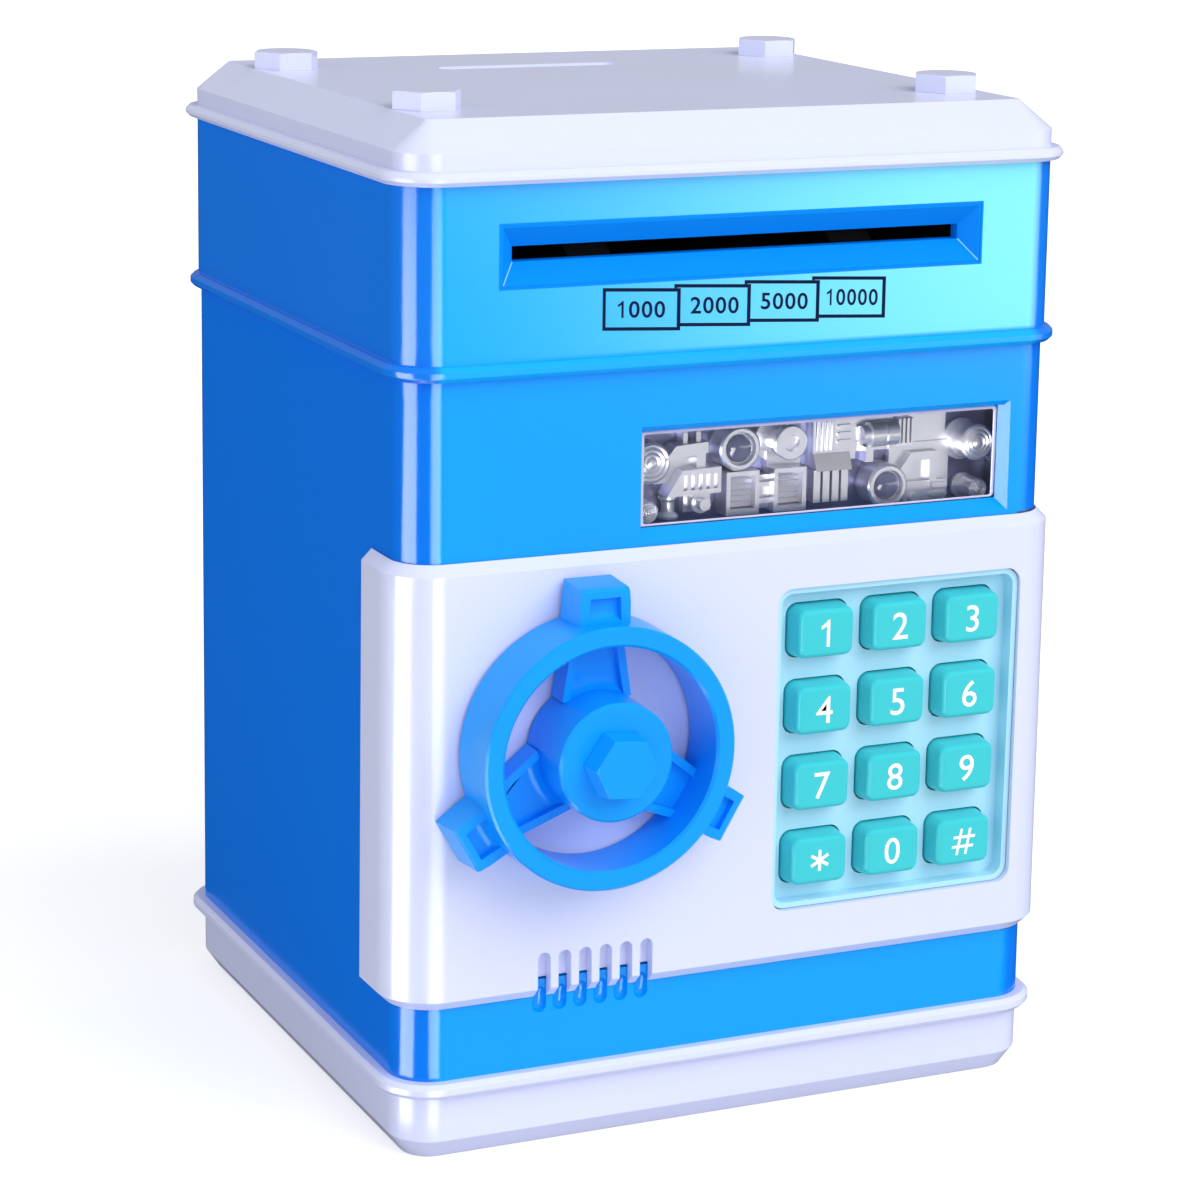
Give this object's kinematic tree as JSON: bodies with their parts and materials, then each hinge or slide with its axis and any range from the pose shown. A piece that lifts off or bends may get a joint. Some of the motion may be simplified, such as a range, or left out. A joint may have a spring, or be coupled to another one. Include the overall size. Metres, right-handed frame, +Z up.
{
  "type": "electronic cash machine coin bank",
  "caption": "Toy cash machine bank: blue cabinet, white door with keypad and handwheel latch, powered note slot, window, coin slot and battery base.",
  "frame": {"origin": "centre of the footprint on the surface that the bank stands on", "axes": "+Z up, -Y out of the front with the door, +X to the right as seen from the front"},
  "size_m": [0.1344, 0.1436, 0.1898],
  "materials": {
    "white_plastic": "glossy white moulding",
    "blue_plastic": "glossy pearl blue moulding",
    "azure_plastic": "glossy deep azure moulding",
    "wheel_plastic": "satin azure moulding",
    "pale_blue_plastic": "satin pale blue moulding",
    "key_plastic": "satin turquoise caps with white characters",
    "clear_lens": "clear polished plastic",
    "silver_plastic": "metallised silver moulding",
    "clear_white_plastic": "natural white plastic",
    "grey_plastic": "matt grey plastic",
    "black_plastic": "matt black",
    "circuit_board": "green circuit board",
    "silicone": "translucent white rubber",
    "rubber": "matt black rubber",
    "steel": "zinc plated steel",
    "brass": "turned brass",
    "cell_wrap": "plain wrap on a steel can"
  },
  "bodies": {
    "cabinet": {"base": "white_plastic", "base_screws": "steel", "battery_cells": "cell_wrap", "battery_contacts": "steel", "battery_cover": "white_plastic", "battery_screw": "steel", "lower_body": "blue_plastic", "money_floor": "blue_plastic", "floor_screws": "steel", "speaker": "black_plastic", "upper_body": "blue_plastic", "slot_bezel": "azure_plastic", "lid": "white_plastic", "lid_bolts": "white_plastic", "coin_chute": "clear_white_plastic", "machinery_insert": "silver_plastic", "window_lens": "clear_lens", "window_screws": "steel", "main_pcb": "circuit_board", "feeder_frame": "grey_plastic", "feeder_screws": "steel", "feed_motor": "steel", "hinge_pins": "steel"},
    "door": {"door_shell": "white_plastic", "keypad_panel": "pale_blue_plastic", "key_membrane": "silicone", "keypad_pcb": "circuit_board", "door_cover": "white_plastic", "door_screws": "steel", "lock_solenoid": "black_plastic"},
    "wheel": {"handwheel": "wheel_plastic", "wheel_cap": "wheel_plastic", "wheel_spindle": "steel", "lock_cam": "brass", "latch_bar": "steel", "latch_screw": "steel"},
    "plunger": {"lock_plunger": "steel"},
    "drive_roller_shaft": {"drive_shaft": "steel", "drive_rollers": "rubber", "drive_gear": "clear_white_plastic"},
    "idler_roller_shaft": {"idler_shaft": "steel", "idler_rollers": "clear_white_plastic"},
    "pinion": {"motor_pinion": "brass"},
    "key_1_cap": {"key_1": "key_plastic"},
    "key_2_cap": {"key_2": "key_plastic"},
    "key_3_cap": {"key_3": "key_plastic"},
    "key_4_cap": {"key_4": "key_plastic"},
    "key_5_cap": {"key_5": "key_plastic"},
    "key_6_cap": {"key_6": "key_plastic"},
    "key_7_cap": {"key_7": "key_plastic"},
    "key_8_cap": {"key_8": "key_plastic"},
    "key_9_cap": {"key_9": "key_plastic"},
    "key_star_cap": {"key_star": "key_plastic"},
    "key_0_cap": {"key_0": "key_plastic"},
    "key_hash_cap": {"key_hash": "key_plastic"}
  },
  "joints": [
    {"name": "door_hinge", "type": "hinge", "parent": "cabinet", "child": "door", "pos_m": [0.0624, -0.0485, 0.06985], "axis": [0, 0, 1], "range_deg": [0, 100]},
    {"name": "wheel_turn", "type": "hinge", "parent": "door", "child": "wheel", "pos_m": [-0.0315, -0.06196, 0.0766], "axis": [0, -1, 0], "range_deg": [0, 90]},
    {"name": "lock_slide", "type": "slide", "parent": "door", "child": "plunger", "axis": [0, 0, 1], "range_m": [0, 0.0025], "stiffness_N_per_m": 60},
    {"name": "drive_spin", "type": "hinge", "parent": "cabinet", "child": "drive_roller_shaft", "pos_m": [0, -0.04498, 0.15725], "axis": [1, 0, 0], "continuous": true},
    {"name": "idler_spin", "type": "hinge", "parent": "cabinet", "child": "idler_roller_shaft", "pos_m": [0, -0.04498, 0.16755], "axis": [1, 0, 0], "continuous": true},
    {"name": "pinion_spin", "type": "hinge", "parent": "cabinet", "child": "pinion", "pos_m": [0.048, -0.04143, 0.14402], "axis": [1, 0, 0], "continuous": true},
    {"name": "key_1_press", "type": "slide", "parent": "door", "child": "key_1_cap", "axis": [0, 1, 0], "range_m": [0, 0.0012], "stiffness_N_per_m": 400},
    {"name": "key_2_press", "type": "slide", "parent": "door", "child": "key_2_cap", "axis": [0, 1, 0], "range_m": [0, 0.0012], "stiffness_N_per_m": 400},
    {"name": "key_3_press", "type": "slide", "parent": "door", "child": "key_3_cap", "axis": [0, 1, 0], "range_m": [0, 0.0012], "stiffness_N_per_m": 400},
    {"name": "key_4_press", "type": "slide", "parent": "door", "child": "key_4_cap", "axis": [0, 1, 0], "range_m": [0, 0.0012], "stiffness_N_per_m": 400},
    {"name": "key_5_press", "type": "slide", "parent": "door", "child": "key_5_cap", "axis": [0, 1, 0], "range_m": [0, 0.0012], "stiffness_N_per_m": 400},
    {"name": "key_6_press", "type": "slide", "parent": "door", "child": "key_6_cap", "axis": [0, 1, 0], "range_m": [0, 0.0012], "stiffness_N_per_m": 400},
    {"name": "key_7_press", "type": "slide", "parent": "door", "child": "key_7_cap", "axis": [0, 1, 0], "range_m": [0, 0.0012], "stiffness_N_per_m": 400},
    {"name": "key_8_press", "type": "slide", "parent": "door", "child": "key_8_cap", "axis": [0, 1, 0], "range_m": [0, 0.0012], "stiffness_N_per_m": 400},
    {"name": "key_9_press", "type": "slide", "parent": "door", "child": "key_9_cap", "axis": [0, 1, 0], "range_m": [0, 0.0012], "stiffness_N_per_m": 400},
    {"name": "key_star_press", "type": "slide", "parent": "door", "child": "key_star_cap", "axis": [0, 1, 0], "range_m": [0, 0.0012], "stiffness_N_per_m": 400},
    {"name": "key_0_press", "type": "slide", "parent": "door", "child": "key_0_cap", "axis": [0, 1, 0], "range_m": [0, 0.0012], "stiffness_N_per_m": 400},
    {"name": "key_hash_press", "type": "slide", "parent": "door", "child": "key_hash_cap", "axis": [0, 1, 0], "range_m": [0, 0.0012], "stiffness_N_per_m": 400}
  ],
  "couplings": [
    {"joint": "pinion_spin", "follows": "drive_spin", "ratio": -2.4},
    {"joint": "idler_spin", "follows": "drive_spin", "ratio": -1.5}
  ]
}
